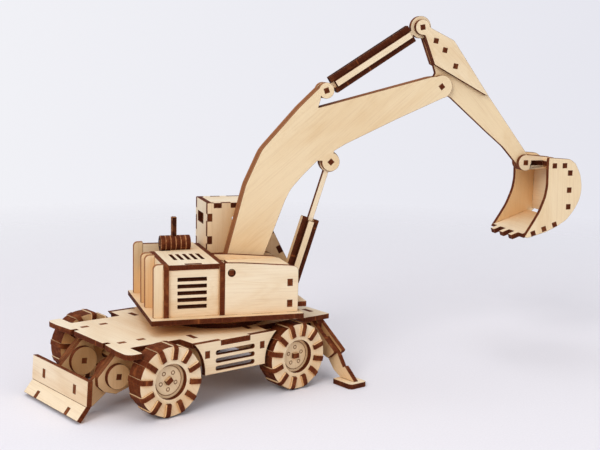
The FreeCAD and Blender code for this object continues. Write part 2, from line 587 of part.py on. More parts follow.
save_house('platform', platform)
save_house('turntable_disc', upper_disc)
save_house('engine_rear_plate', rear_plate)
save_house('engine_middle_plate', middle_plate)
save_house('louvred_panels', right_louvre, left_louvre)
save_house('engine_cover', cover)
save_house('rear_fins', fins)
save_house('muffler', muffler, spindle, exhaust)
save_house('right_side_panel', side_panel)
save_house('boom_bracket_plates', right_bracket, left_bracket)
save_house('right_box_cover', front_box_cover, rear_box_cover)
save_house('front_cross_plate', front_plate)
save_house('front_step', step)
save_house('cab_side_walls', cab_walls)
save_house('cab_rear_wall', cab_rear)
save_house('cab_roof', roof)
save_house('cab_windscreen', windscreen)
save_house('cylinder_foot_pin', foot_pin)

# ================================================================ boom
BOOM_HALF = 1.5 * PLY    # half thickness of the three layers
THROUGH = (-5, 5)        # span of a cut through all layers
foot_x, foot_z = BOOM_FOOT
BOOM_OUTLINE = [
    (foot_x + 0.8, foot_z + 3.55), (4.9, 72.6, 1.0), (16.6, 116.5, 30.0), (26.1, 137.1, 20.0),
    (49.0, 162.4, 30.0), (61.9, 174.6), (62.0, 167.4, 0.6), (60.4, 161.9, 0.3),
    (134.8, 181.4, 20.0), (142.0, 181.2), (144.5, 169.6), (111.2, 155.3, 60.0),
    (78.4, 140.3, 10.0), (71.3, 136.3), (68.0, 126.0), (64.6, 130.2), (60.6, 130.3, 0.6),
    (52.3, 122.3, 10.0), (44.2, 113.4, 20.0), (40.9, 106.7, 20.0), (34.5, 90.0),
    (27.6, 72.5, 4.0), (22.0, 65.0, 5.0), (foot_x + 1.0, foot_z - 3.55)]
BOOM_EYES = ((BOOM_FOOT, 3.65), (STICK_CYL_FOOT, 4.8), (STICK_PIVOT, 7.0), (BOOM_CYL_HEAD, 5.6))
CORE_CLEARANCES = ((STICK_CYL_FOOT, 5.0), (BOOM_CYL_HEAD, 7.8), (STICK_PIVOT, 9.6))
CORE_END_CUT = [(134, 168), (160, 160), (160, 190), (136, 190)]


def boom_layer(y_span):
    return join([plate('xz', y_span, BOOM_OUTLINE)] +
                [disc('xz', y_span, centre, radius) for centre, radius in BOOM_EYES])


boom_pins = [pin(BOOM_HALF, STICK_CYL_FOOT, 20), pin(BOOM_HALF, BOOM_CYL_HEAD, 45),
             pin(BOOM_HALF, STICK_PIVOT, 40)]
boom_sides = [less(boom_layer(y_span), boom_pins, boom_shaft)
              for y_span in mirrored((-BOOM_HALF, -PLY / 2))]
boom_core = less(boom_layer(around(0, PLY / 2)),
                 [disc('xz', THROUGH, centre, radius) for centre, radius in CORE_CLEARANCES],
                 plate('xz', THROUGH, CORE_END_CUT))
# Only the largest solid left by the cuts is the core
boom_core = less(max(boom_core.Solids, key=lambda solid: solid.Volume), boom_shaft)
save_house('boom_side_plates', boom_sides)
save_house('boom_core', boom_core)
save_house('boom_pins', boom_pins, boom_shaft)

# ================================================================ cylinders
ROD_Y = around(0, 1.4)
EYE_STEM = (-1.9, 1.9)   # width between the barrel's long sides


def save_cylinder(name, foot, head, barrel, rod_start, eye_r, rod_hole_r, rod_eye_r):
    """Barrel and rod; barrel and rod_start are distances from the foot pin."""
    line = line_from(foot, head)
    start, end = barrel
    sides = [strip(around(0, 2.2), line, barrel, offsets)
             for offsets in ((1.9, 5.4), (-5.4, -1.9))]
    faces = [strip(y_span, line, (start + 1.6, end - 1.6), EYE_STEM)
             for y_span in mirrored((-BOOM_HALF, -1.55))]
    eye = join([strip(ROD_Y, line, (0, start + 9.0), EYE_STEM),
                disc('xz', ROD_Y, foot, eye_r),
                strip(around(0, 1.55), line, (start + 2.0, start + 8.0), EYE_STEM)])
    eye = less(eye, disc('xz', THROUGH, foot, PIN_HOLE_R))
    rod = join([strip(ROD_Y, line, (rod_start, math.dist(foot, head)), (-1.6, 1.6)),
                disc('xz', ROD_Y, head, rod_eye_r)])
    rod = less(rod, disc('xz', THROUGH, head, rod_hole_r))
    save_house(name + '_barrel', sides, faces, eye)
    save_house(name + '_rod', rod)


save_cylinder('boom_cylinder', BOOM_CYL_FOOT, BOOM_CYL_HEAD, barrel=(5.0, 45.0),
              rod_start=28.0, eye_r=4.0, rod_hole_r=3.3, rod_eye_r=6.4)
save_cylinder('stick_cylinder', STICK_CYL_FOOT, STICK_CYL_HEAD, barrel=(5.8, 64.8),
              rod_start=24.0, eye_r=4.2, rod_hole_r=2.9, rod_eye_r=6.7)

# ================================================================ stick
CORE_HALF = PLY / 2 - GAP
CHEEK_OUTER = CORE_HALF + PLY
CORE_Y = around(0, CORE_HALF)
STICK_OUTLINE = [
    (128.3, 205.6), (131.8, 197.5), (135.2, 188.8), (137.1, 183.4, 1.5), (135.0, 179.0),
    (138.5, 169.6), (147.0, 169.2, 6.0), (159.6, 158.8), (173.4, 147.4), (185.8, 137.6, 20.0),
    (196.2, 126.4), (204.5, 131.2), (172.8, 171.3, 60.0), (150.9, 198.7, 6.0),
    (147.4, 203.3, 4.0), (134.0, 209.2)]
CHEEK_OUTLINE = [
    (124.0, 206.9), (128.0, 206.0, 1.0), (135.0, 188.6, 0.8), (173.1, 169.0, 0.6),
    (150.9, 198.7, 6.0), (147.4, 203.3, 4.0), (131.5, 210.6, 3.0), (127.5, 215.2)]

pegs = [pin(CHEEK_OUTER, STICK_CYL_HEAD, 10)]
pegs += [pin(CHEEK_OUTER, centre, -10)
         for centre in ((135.2, 202.9), (141.4, 197.5), (149.0, 187.8))]
stick_core = join([plate('xz', CORE_Y, STICK_OUTLINE), disc('xz', CORE_Y, STICK_PIVOT, 6.0),
                   disc('xz', CORE_Y, BUCKET_PIVOT, 5.0)])
stick_core = less(stick_core, disc('xz', THROUGH, STICK_CYL_HEAD, 7.4),
                  disc('xz', THROUGH, STICK_PIVOT, PIN_HOLE_R),
                  disc('xz', THROUGH, BUCKET_PIVOT, PIN_HOLE_R), pegs)
cheeks = [less(join([plate('xz', y_span, CHEEK_OUTLINE),
                     disc('xz', y_span, STICK_CYL_HEAD, 4.6)]), pegs)
          for y_span in mirrored((-CHEEK_OUTER, -CORE_HALF))]
save_house('stick_core', stick_core)
save_house('stick_cheeks', cheeks)
save_house('stick_pegs', pegs)

# ================================================================ bucket
BUCKET_HALF = 22.8       # half width
BUCKET_INNER = BUCKET_HALF - PLY
BUCKET_INNER_Y = around(0, BUCKET_INNER)
BUCKET_TABS_Y = mirrored((-BUCKET_HALF, -BUCKET_HALF + 4))
EAR_OUTER = CHEEK_OUTER + 0.1
TOP_Z = (126.0, 129.0)
BACK_X = (221.0, 224.0)
BUCKET_SIDE_OUTLINE = [
    (207.0, 132.6, 0.6), (222.1, 131.5, 3.0), (226.1, 128.8, 4.0), (229.9, 121.9, 12.0),
    (231.5, 113.6, 20.0), (230.5, 105.7, 20.0), (226.5, 98.9, 15.0), (221.9, 93.1, 12.0),
    (215.1, 89.0, 12.0), (207.6, 85.7, 12.0), (194.9, 82.2, 0.8), (192.6, 82.8, 0.5),
    (198.5, 91.8, 30.0), (202.4, 98.1, 30.0), (206.2, 107.7, 25.0), (207.3, 115.0, 20.0),
    (207.0, 124.6, 20.0)]
BACK_OUTLINE = [(BACK_X[0], 125.9), (BACK_X[0], 94.6), (BACK_X[1], 97.2), (BACK_X[1], 125.9)]
EAR_OUTLINE = [(201.0, 132.7), (217.0, 131.2), (220.9, 130.8), (220.9, 124.2), (203.5, 123.2)]

top_plate = join([box((213.0, 220.6), BUCKET_INNER_Y, TOP_Z),
                  box((204.9, 214), around(0, 4.55), TOP_Z)] +
                 [box(layer(x), y_span, TOP_Z) for x in (209.7, 216.9)
                  for y_span in BUCKET_TABS_Y] +
                 [box((209.7, 214), y_span, TOP_Z)
                  for y_span in mirrored((-BUCKET_INNER, -BUCKET_INNER + 4))])
top_plate = less(top_plate, box((204, 208.0), around(0, 1.6), (125, 130)))
back_plate = join([plate('xz', BUCKET_INNER_Y, BACK_OUTLINE)] +
                  [box(BACK_X, y_span, around(z, 1.6)) for z in (122.8, 112.0, 101.4)
                   for y_span in BUCKET_TABS_Y])

# The bottom plate runs from the rearmost tab towards the teeth
bottom_line = line_from((213.4, 90.2), (198.6, 85.0))


def bottom_piece(reach, y_span):
    return strip(y_span, bottom_line, reach, (PLY / 2, -PLY / 2))


bottom_plate = join([bottom_piece((-5.6, 21.4), BUCKET_INNER_Y)] +
                    [bottom_piece((21.0, 26.4), around(y, 2.4)) for y in (-11.7, 0.0, 11.7)] +
                    [bottom_piece(around(s, PLY / 2), y_span) for s in (0.0, 7.8, 15.7)
                     for y_span in BUCKET_TABS_Y])

bucket_sides = [less(plate('xz', y_span, BUCKET_SIDE_OUTLINE),
                     top_plate, back_plate, bottom_plate)
                for y_span in mirrored((-BUCKET_HALF, -BUCKET_INNER))]
bucket_pin = pin(EAR_OUTER, BUCKET_PIVOT)
ears = [less(join([disc('xz', y_span, BUCKET_PIVOT, 5.1), plate('xz', y_span, EAR_OUTLINE)]),
             top_plate, bucket_pin, back_plate)
        for y_span in mirrored((-EAR_OUTER, -EAR_OUTER + PLY))]
save_house('bucket_side_plates', bucket_sides)
save_house('bucket_cross_plates', top_plate, back_plate, bottom_plate)
save_house('bucket_ears', ears)
save_house('bucket_pin', bucket_pin)
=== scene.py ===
import math
import random
import bpy
import numpy as np
from mathutils import Matrix, Vector

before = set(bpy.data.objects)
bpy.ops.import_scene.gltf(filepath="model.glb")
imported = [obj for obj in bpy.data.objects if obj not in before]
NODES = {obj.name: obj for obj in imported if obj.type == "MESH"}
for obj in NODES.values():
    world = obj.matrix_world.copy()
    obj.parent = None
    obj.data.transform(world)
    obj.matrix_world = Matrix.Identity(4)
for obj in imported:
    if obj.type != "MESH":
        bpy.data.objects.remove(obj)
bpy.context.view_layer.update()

scene = bpy.context.scene
HOUSE_TURN = math.radians(-21.45)          # the house is turned on the chassis
HX = Vector((math.cos(HOUSE_TURN), math.sin(HOUSE_TURN), 0.0))
HY = Vector((-math.sin(HOUSE_TURN), math.cos(HOUSE_TURN), 0.0))
UP = Vector((0, 0, 1))
X, Y = Vector((1, 0, 0)), Vector((0, 1, 0))


# ------------------------------------------------------------------ node helpers
class Tree:
    def __init__(self, nt):
        self.nt = nt

    def new(self, kind, **inputs):
        n = self.nt.nodes.new(kind)
        for k, v in inputs.items():
            self.set(n, k, v)
        return n

    def set(self, n, key, v):
        sock = n.inputs[int(key[1:])] if key[0] == "i" and key[1:].isdigit() else n.inputs[key.replace("_", " ")]
        if isinstance(v, bpy.types.NodeSocket):
            self.nt.links.new(v, sock)
        else:
            sock.default_value = v

    def math(self, op, a, b=0.0, c=0.0, clamp=False):
        n = self.new("ShaderNodeMath")
        n.operation = op
        n.use_clamp = clamp
        for i, v in enumerate((a, b, c)):
            self.set(n, "i%d" % i, v)
        return n.outputs[0]

    def vmul(self, v, by):
        n = self.new("ShaderNodeVectorMath")
        n.operation = "MULTIPLY"
        self.set(n, "i0", v)
        self.set(n, "i1", by)
        return n.outputs[0]

    def vadd(self, v, by):
        n = self.new("ShaderNodeVectorMath")
        n.operation = "ADD"
        self.set(n, "i0", v)
        self.set(n, "i1", by)
        return n.outputs[0]

    def noise(self, vec, scale=1.0, detail=2.0, rough=0.5, distort=0.0):
        n = self.new("ShaderNodeTexNoise")
        n.noise_dimensions = "3D"
        self.set(n, "Vector", vec)
        self.set(n, "Scale", scale)
        self.set(n, "Detail", detail)
        self.set(n, "Roughness", rough)
        self.set(n, "Distortion", distort)
        return n.outputs[0]

    def ramp(self, fac, stops, mode="LINEAR"):
        n = self.new("ShaderNodeValToRGB")
        cr = n.color_ramp
        cr.interpolation = mode
        while len(cr.elements) < len(stops):
            cr.elements.new(0.5)
        for e, (p, c) in zip(cr.elements, stops):
            e.position = p
            e.color = (c, c, c, 1) if isinstance(c, (int, float)) else (c[0], c[1], c[2], 1)
        self.set(n, "i0", fac)
        return n.outputs[0]

    def mix(self, fac, a, b, mode="MIX"):
        n = self.new("ShaderNodeMix")
        n.data_type = "RGBA"
        n.blend_type = mode
        self.set(n, "i0", fac)
        self.set(n, "i6", (a[0], a[1], a[2], 1) if isinstance(a, tuple) else a)
        self.set(n, "i7", (b[0], b[1], b[2], 1) if isinstance(b, tuple) else b)
        return n.outputs[2]

    def maprange(self, v, a, b, c, d):
        n = self.new("ShaderNodeMapRange")
        for i, x in enumerate((v, a, b, c, d)):
            self.set(n, "i%d" % i, x)
        return n.outputs[0]


def lin(r, g, b):
    """sRGB 0-255 to linear."""
    def f(v):
        v /= 255.0
        return v / 12.92 if v <= 0.04045 else ((v + 0.055) / 1.055) ** 2.4
    return (f(r), f(g), f(b))


def material(name):
    m = bpy.data.materials.new(name)
    m.use_nodes = True
    m.node_tree.nodes.clear()
    t = Tree(m.node_tree)
    out = t.new("ShaderNodeOutputMaterial")
    bsdf = t.new("ShaderNodeBsdfPrincipled")
    t.nt.links.new(bsdf.outputs[0], out.inputs[0])
    at = t.new("ShaderNodeAttribute")
    at.attribute_type = "GEOMETRY"
    at.attribute_name = "pl"                 # along grain, across grain, through thickness (mm)
    sd = t.new("ShaderNodeAttribute")
    sd.attribute_type = "GEOMETRY"
    sd.attribute_name = "sd"                 # three numbers of each piece, each with a random touch: veneer tone, amount of painted shade, paleness of the cut edges
    sx = t.new("ShaderNodeSeparateXYZ")
    t.set(sx, "i0", sd.outputs["Vector"])
    px = t.new("ShaderNodeSeparateXYZ")
    t.set(px, "i0", at.outputs["Vector"])
    shift = t.vmul(sd.outputs["Vector"], (411.0, 1211.0, 897.0))
    return m, t, bsdf, at.outputs["Vector"], px.outputs, sx.outputs, shift


# Colours of the birch veneer and of the burnt cut edge, as reflectance
PALE = lin(240, 225, 199)
WARM = lin(234, 209, 168)
FIGURE = lin(213, 175, 122)
STREAK = lin(190, 148, 106)
SCORCH = lin(112, 58, 24)
CHAR = lin(46, 14, 3)
LIGHTB = lin(158, 88, 44)


WARMTH = (0.84, 0.58, 0.32)                # light bounced between wood faces turns warm


def hollow(t, reach):
    """Mask for painted shade: 0 on open faces, 1 deep in corners."""
    ao = t.new("ShaderNodeAmbientOcclusion")
    ao.samples = 4
    t.set(ao, "Distance", reach)
    return t.maprange(ao.outputs["AO"], 0.85, 0.15, 0.0, 1.0)


def birch_face():
    m, t, bsdf, P, p, s, shift = material("birch_face")
    # slow change of tone over the sheet and between pieces
    base = t.mix(t.maprange(s[0], 0.0, 1.0, 0.0, 1.0), PALE, WARM)
    q = t.vadd(t.vmul(P, (0.011, 0.045, 0.0)), shift)
    fig = t.noise(q, 1.0, 3.0, 0.55, 0.8)
    base = t.mix(t.math("MULTIPLY", t.maprange(fig, 0.42, 0.72, 0.0, 1.0), 0.42), base, FIGURE)
    # flame figure: thin bent growth lines
    w = t.new("ShaderNodeTexWave")
    w.wave_type = "RINGS"
    w.rings_direction = "Y"
    w.wave_profile = "SIN"
    t.set(w, "Vector", t.vadd(t.vmul(P, (0.012, 0.07, 0.0)), shift))
    t.set(w, "Scale", 1.1)
    t.set(w, "Distortion", 5.0)
    t.set(w, "Detail", 2.0)
    t.set(w, "Detail Scale", 1.1)
    ring = t.ramp(w.outputs[1], [(0.0, 0.0), (0.72, 0.0), (0.93, 1.0), (1.0, 0.3)])
    ringamt = t.math("MULTIPLY", ring, t.maprange(t.noise(t.vadd(t.vmul(P, (0.02, 0.03, 0.0)), shift), 1.0, 1.0), 0.42, 0.62, 0.03, 0.22))
    base = t.mix(ringamt, base, FIGURE)
    # fine streaks along the grain
    st = t.noise(t.vadd(t.vmul(P, (0.035, 1.35, 0.0)), shift), 1.0, 4.0, 0.6)
    base = t.mix(t.math("MULTIPLY", t.maprange(st, 0.48, 0.78, 0.0, 1.0), 0.30), base, STREAK)
    # short pores
    po = t.noise(t.vadd(t.vmul(P, (0.42, 5.2, 0.0)), shift), 1.0, 2.0, 0.5)
    pore = t.maprange(po, 0.63, 0.74, 0.0, 1.0)
    base = t.mix(t.math("MULTIPLY", pore, 0.22), base, STREAK)
    # scorch next to the cut
    bev = t.new("ShaderNodeBevel")
    bev.samples = 6
    t.set(bev, "Radius", 0.00042)
    geo = t.new("ShaderNodeNewGeometry")
    dot = t.new("ShaderNodeVectorMath")
    dot.operation = "DOT_PRODUCT"
    t.set(dot, "i0", bev.outputs[0])
    t.set(dot, "i1", geo.outputs["Normal"])
    near = t.maprange(dot.outputs["Value"], 0.999, 0.80, 0.0, 1.0)
    haze = t.noise(t.vadd(t.vmul(P, (0.5, 0.5, 0.0)), shift), 1.0, 2.0, 0.5)
    near = t.math("MULTIPLY", near, t.maprange(haze, 0.3, 0.7, 0.35, 0.85))
    base = t.mix(near, base, SCORCH)
    base = t.mix(s[1], base, t.mix(1.0, base, (0.66, 0.45, 0.20), "MULTIPLY"))      # painted shade: pieces in shadow darkened toward warm brown
    # painted shade: faces darken toward warm brown in corners and hollows
    base = t.mix(t.math("MULTIPLY", hollow(t, 0.06), 0.9), base, t.mix(1.0, base, WARMTH, "MULTIPLY"))
    t.set(bsdf, "Base Color", base)
    t.set(bsdf, "Roughness", t.maprange(st, 0.3, 0.8, 0.50, 0.64))
    t.set(bsdf, "IOR", 1.42)
    bump = t.new("ShaderNodeBump")
    t.set(bump, "Strength", 0.35)
    t.set(bump, "Distance", 0.00004)
    t.set(bump, "Height", t.math("SUBTRACT", t.math("MULTIPLY", st, 0.8), t.math("MULTIPLY", pore, 0.6)))
    t.set(bsdf, "Normal", bump.outputs[0])
    return m


def burnt_edge():
    m, t, bsdf, P, p, s, shift = material("burnt_edge")
    depth = t.math("ABSOLUTE", p[2])                        # 0 at the middle layer, 1.5 at the faces
    # laser striping runs through the thickness
    stripe = t.noise(t.vadd(t.vmul(P, (1.5, 1.5, 0.10)), shift), 1.0, 3.0, 0.65)
    blot = t.noise(t.vadd(t.vmul(P, (0.16, 0.16, 0.25)), shift), 1.0, 3.0, 0.55)
    # layers: middle ply is across the grain and burns darker, glue lines are black
    wob = t.math("MULTIPLY", t.math("SUBTRACT", blot, 0.5), 0.35)
    d2 = t.math("ADD", depth, wob)
    lay = t.ramp(t.math("DIVIDE", d2, 1.5), [(0.0, LIN_A), (0.30, LIN_A), (0.37, CHAR), (0.44, LIN_B), (0.80, LIN_B), (1.0, CHAR)])
    col = t.mix(t.math("MULTIPLY", t.maprange(stripe, 0.40, 0.72, 0.0, 1.0), 0.62), lay, CHAR)
    col = t.mix(t.math("MULTIPLY", t.maprange(blot, 0.50, 0.75, 0.0, 1.0), 0.55), col, LIGHTB)
    fine = t.noise(t.vadd(t.vmul(P, (3.6, 3.6, 1.4)), shift), 1.0, 2.0, 0.6)
    col = t.mix(t.math("MULTIPLY", t.maprange(fine, 0.60, 0.74, 0.0, 1.0), 0.35), col, LIGHTB)
    # edge colour follows the piece's paleness number: charred dark when low, paler when high; partly burn, partly
    # painted light and shade
    col = t.mix(t.maprange(s[2], 0.0, 0.25, 0.55, 0.0), col, CHAR)
    light = t.math("MULTIPLY", t.maprange(s[2], 0.25, 1.0, 0.0, 0.95), t.ramp(t.math("DIVIDE", d2, 1.5), [(0.0, 0.75), (0.28, 1.0), (0.36, 0.35), (0.44, 0.9), (0.66, 0.85), (0.85, 0.25), (1.0, 0.0)]))
    col = t.mix(light, col, lin(202, 138, 88))
    tick = t.new("ShaderNodeTexVoronoi")
    tick.voronoi_dimensions = "2D"
    t.set(tick, "Vector", t.vadd(t.vmul(P, (0.11, 0.11, 0.0)), shift))
    t.set(tick, "Scale", 1.0)
    col = t.mix(t.maprange(tick.outputs["Distance"], 0.05, 0.075, 0.45, 0.0), col, LIGHTB)
    # painted shade: cut edges darken in corners and hollows
    col = t.mix(hollow(t, 0.02), col, t.mix(1.0, col, (0.55, 0.42, 0.35), "MULTIPLY"))
    t.set(bsdf, "Base Color", col)
    t.set(bsdf, "Roughness", t.maprange(stripe, 0.3, 0.8, 0.66, 0.86))
    t.set(bsdf, "IOR", 1.35)
    t.set(bsdf, "Specular IOR Level", 0.22)
    bump = t.new("ShaderNodeBump")
    t.set(bump, "Strength", 0.6)
    t.set(bump, "Distance", 0.00009)
    t.set(bump, "Height", t.math("ADD", stripe, t.math("MULTIPLY", fine, 0.4)))
    t.set(bsdf, "Normal", bump.outputs[0])
    return m


LIN_A = lin(100, 42, 14)
LIN_B = lin(110, 49, 18)


def scorched_rim(title, dark, pale):
    m, t, bsdf, P, p, s, shift = material(title)
    n = t.noise(t.vadd(t.vmul(P, (0.9, 0.9, 0.5)), shift), 1.0, 3.0, 0.6)
    col = t.mix(t.maprange(n, 0.35, 0.70, 0.0, 1.0), dark, pale)
    t.set(bsdf, "Base Color", col)
    t.set(bsdf, "Roughness", 0.7)
    t.set(bsdf, "IOR", 1.35)
    return m


def engraved():
    m, t, bsdf, P, p, s, shift = material("engraved_line")
    n = t.noise(t.vadd(t.vmul(P, (1.6, 1.6, 0.5)), shift), 1.0, 3.0, 0.6)
    col = t.mix(t.maprange(n, 0.35, 0.70, 0.0, 1.0), lin(150, 102, 62), lin(186, 138, 92))
    t.set(bsdf, "Base Color", col)
    t.set(bsdf, "Roughness", 0.75)
    bump = t.new("ShaderNodeBump")
    t.set(bump, "Strength", 0.5)
    t.set(bump, "Distance", 0.00006)
    t.set(bump, "Height", n)
    t.set(bsdf, "Normal", bump.outputs[0])
    return m


FACE, EDGE, RIM, ENGRAVED = birch_face(), burnt_edge(), scorched_rim("scorched_rim", lin(66, 28, 9), lin(146, 88, 46)), engraved()
# the bevelled rims of the muffler discs are coloured paler than other rims
PALE_RIM = scorched_rim("muffler_pale_rim", lin(120, 62, 28), lin(214, 160, 108))


# ------------------------------------------------------------------ geometry nodes that weld each solid on its own
def weld_group():
    g = bpy.data.node_groups.new("weld_each_solid", "GeometryNodeTree")
    g.interface.new_socket("Geometry", in_out="INPUT", socket_type="NodeSocketGeometry")
    g.interface.new_socket("Geometry", in_out="OUTPUT", socket_type="NodeSocketGeometry")
    N, L = g.nodes, g.links
    gi, go = N.new("NodeGroupInput"), N.new("NodeGroupOutput")
    pos = N.new("GeometryNodeInputPosition")
    cap = N.new("GeometryNodeStoreNamedAttribute")
    cap.data_type, cap.domain = "FLOAT_VECTOR", "POINT"
    cap.inputs["Name"].default_value = "rest_co"
    sid = N.new("GeometryNodeInputNamedAttribute")
    sid.data_type = "FLOAT"
    sid.inputs["Name"].default_value = "sid"
    comb = N.new("ShaderNodeCombineXYZ")
    mul = N.new("ShaderNodeMath")
    mul.operation = "MULTIPLY"
    mul.inputs[1].default_value = 0.5
    sp1, sp2 = N.new("GeometryNodeSetPosition"), N.new("GeometryNodeSetPosition")
    mrg = N.new("GeometryNodeMergeByDistance")
    mrg.inputs["Distance"].default_value = 2e-6
    back = N.new("GeometryNodeInputNamedAttribute")
    back.data_type = "FLOAT_VECTOR"
    back.inputs["Name"].default_value = "rest_co"
    rem = N.new("GeometryNodeRemoveAttribute")
    rem.inputs["Name"].default_value = "custom_normal"
    L.new(gi.outputs[0], cap.inputs["Geometry"])
    L.new(pos.outputs[0], cap.inputs["Value"])
    L.new(sid.outputs["Attribute"], mul.inputs[0])
    L.new(mul.outputs[0], comb.inputs[0])
    L.new(cap.outputs[0], sp1.inputs["Geometry"])
    L.new(comb.outputs[0], sp1.inputs["Offset"])
    L.new(sp1.outputs[0], mrg.inputs["Geometry"])
    L.new(mrg.outputs[0], sp2.inputs["Geometry"])
    L.new(back.outputs["Attribute"], sp2.inputs["Position"])
    L.new(sp2.outputs[0], rem.inputs["Geometry"])
    L.new(rem.outputs[0], go.inputs[0])
    return g


def smooth_group(angle):
    g = bpy.data.node_groups.new("smooth_small_angles", "GeometryNodeTree")
    g.interface.new_socket("Geometry", in_out="INPUT", socket_type="NodeSocketGeometry")
    g.interface.new_socket("Geometry", in_out="OUTPUT", socket_type="NodeSocketGeometry")
    N, L = g.nodes, g.links
    gi, go = N.new("NodeGroupInput"), N.new("NodeGroupOutput")
    f = N.new("GeometryNodeSetShadeSmooth")
    f.domain = "FACE"
    e = N.new("GeometryNodeSetShadeSmooth")
    e.domain = "EDGE"
    ang = N.new("GeometryNodeInputMeshEdgeAngle")
    cmp_ = N.new("ShaderNodeMath")
    cmp_.operation = "LESS_THAN"
    cmp_.inputs[1].default_value = math.radians(angle)
    L.new(gi.outputs[0], f.inputs["Geometry"])
    f.inputs["Shade Smooth"].default_value = True
    L.new(f.outputs[0], e.inputs["Geometry"])
    L.new(ang.outputs["Unsigned Angle"], cmp_.inputs[0])
    L.new(cmp_.outputs[0], e.inputs["Shade Smooth"])
    L.new(e.outputs[0], go.inputs[0])
    return g


WELD, SMOOTH = weld_group(), smooth_group(32.0)


# ------------------------------------------------------------------ reading the solids of a node
def solids_of(me):
    """Face index lists, one per closed solid, in mesh order, and each vertex's solid number."""
    co = np.zeros(len(me.vertices) * 3, np.float32)
    me.vertices.foreach_get("co", co)
    co = co.reshape(-1, 3)
    key = {}
    wid = np.zeros(len(co), int)
    for i, c in enumerate(np.round(co * 1e7).astype(np.int64)):
        wid[i] = key.setdefault(tuple(c), len(key))
    open_edges, out, cur = set(), [], []
    vs = np.full(len(co), -1)
    for poly in me.polygons:
        v = list(poly.vertices)
        cur.append(poly.index)
        for a, b in zip(v, v[1:] + v[:1]):
            a, b = int(wid[a]), int(wid[b])
            e = (min(a, b), max(a, b))
            if e in open_edges:
                open_edges.discard(e)
            else:
                open_edges.add(e)
        for a in v:
            vs[a] = len(out)
        if not open_edges:
            out.append(cur)
            cur = []
    if cur:
        out.append(cur)
    return co.astype(float), out, vs


def dominant_normal(nr, ar):
    best, bn = -1.0, None
    for i in np.argsort(-ar)[:60]:
        n = nr[i]
        a = ar[np.abs(nr @ n) > 0.999].sum()
        if a > best + 1e-12:
            best, bn = a, n
    return bn / np.linalg.norm(bn)


# grain directions that don't follow the long side of the piece: (direction in space)
GRAIN = {"deck_plate": Y, "right_side_panel": HX, "louvred_panels": HX, "platform": HX, "engine_cover": HY, "cab_rear_wall": UP,
         "cab_side_walls": UP, "cab_roof": HX, "right_box_cover": HX, "engine_rear_plate": UP, "engine_middle_plate": UP, "rear_fins": UP,
         "blade_upper_plate": Y, "blade_lower_plate": Y, "side_skirts": X, "bucket_side_plates": UP}
# how pale the cut edges of a piece are coloured, 0 to 1: partly how little they are burnt, partly painted light and
# shade (paler edges on pieces lit by the key, darkest edges on the turntable in shade under the platform)
LIGHT_EDGE = {"boom_side_plates": 0.66, "boom_core": 0.58, "rear_fins": 0.7, "axle_hangers": 0.4, "blade_arms": 0.3, "platform": 0.03,
              "turntable_base": 0.0, "turntable_disc": 0.0, "louvred_panels": 0.03, "engine_cover": 0.12, "cab_rear_wall": 0.05, "cab_roof": 0.05,
              "cab_windscreen": 0.05, "muffler": 0.1, "boom_cylinder_barrel": 0.03, "stick_cylinder_barrel": 0.03, "boom_cylinder_rod": 0.3,
              "bucket_ears": 0.3, "bucket_cross_plates": 0.05, "stick_pegs": 0.06, "boom_pins": 0.16, "bucket_pin": 0.16, "deck_plate": 0.18,
              "front_left_lugs": 0.2, "front_right_lugs": 0.2, "rear_left_lugs": 0.2, "rear_right_lugs": 0.2, "left_foot_pad": 0.1, "right_foot_pad": 0.1}
# painted shade: how far the faces of a piece that sits in shadow are darkened toward warm brown
PAINTED_SHADE = {"axle_hangers": 0.62, "blade_pivot_discs": 0.5, "blade_arms": 0.22, "front_right_tyre_discs": 0.30, "crossmembers": 0.3,
         "outrigger_carrier": 0.3, "left_outrigger_sleeve": 0.28, "right_outrigger_sleeve": 0.28, "bucket_cross_plates": 0.08, "turntable_base": 0.3,
         "turntable_disc": 0.35}
NEAR_SIDE_SHADE_FACTOR = {"axle_hangers": 0.35, "blade_pivot_discs": 0.5}      # pieces on the near side, turned to the light, get less painted shade
# how warm the veneer of a piece is, 0 pale to 1 honey
TONE = {"blade_lower_plate": 0.15, "blade_upper_plate": 0.15, "deck_plate": 0.15, "right_side_panel": 0.3, "louvred_panels": 0.2, "engine_cover": 0.05,
        "bucket_side_plates": 0.85, "stick_core": 0.95, "stick_cheeks": 0.6, "boom_side_plates": 0.7, "cab_rear_wall": 0.05, "rear_fins": 0.6,
        "cab_roof": 0.1, "right_box_cover": 0.5}
ALL_EDGE = {("stick_cylinder_barrel", 0), ("muffler", 6), ("muffler", 7), ("muffler", 8), ("muffler", 0)}
BLIND = {"louvred_panels", "engine_cover"}
NORMAL = {}                               # piece's ply normal where its long sides are equal
BEVEL = {"muffler": 0.00026, "front_left_tyre_discs": 0.00005, "front_right_tyre_discs": 0.00005, "rear_left_tyre_discs": 0.00005, "rear_right_tyre_discs": 0.00005}


def groove(me, i, co, n, mid, half):
    """True where the whole face lies in the engraved layer."""
    v = co[list(me.polygons[i].vertices)] @ n - mid
    return bool(v.min() > half - 6e-4 or v.max() < 6e-4 - half)


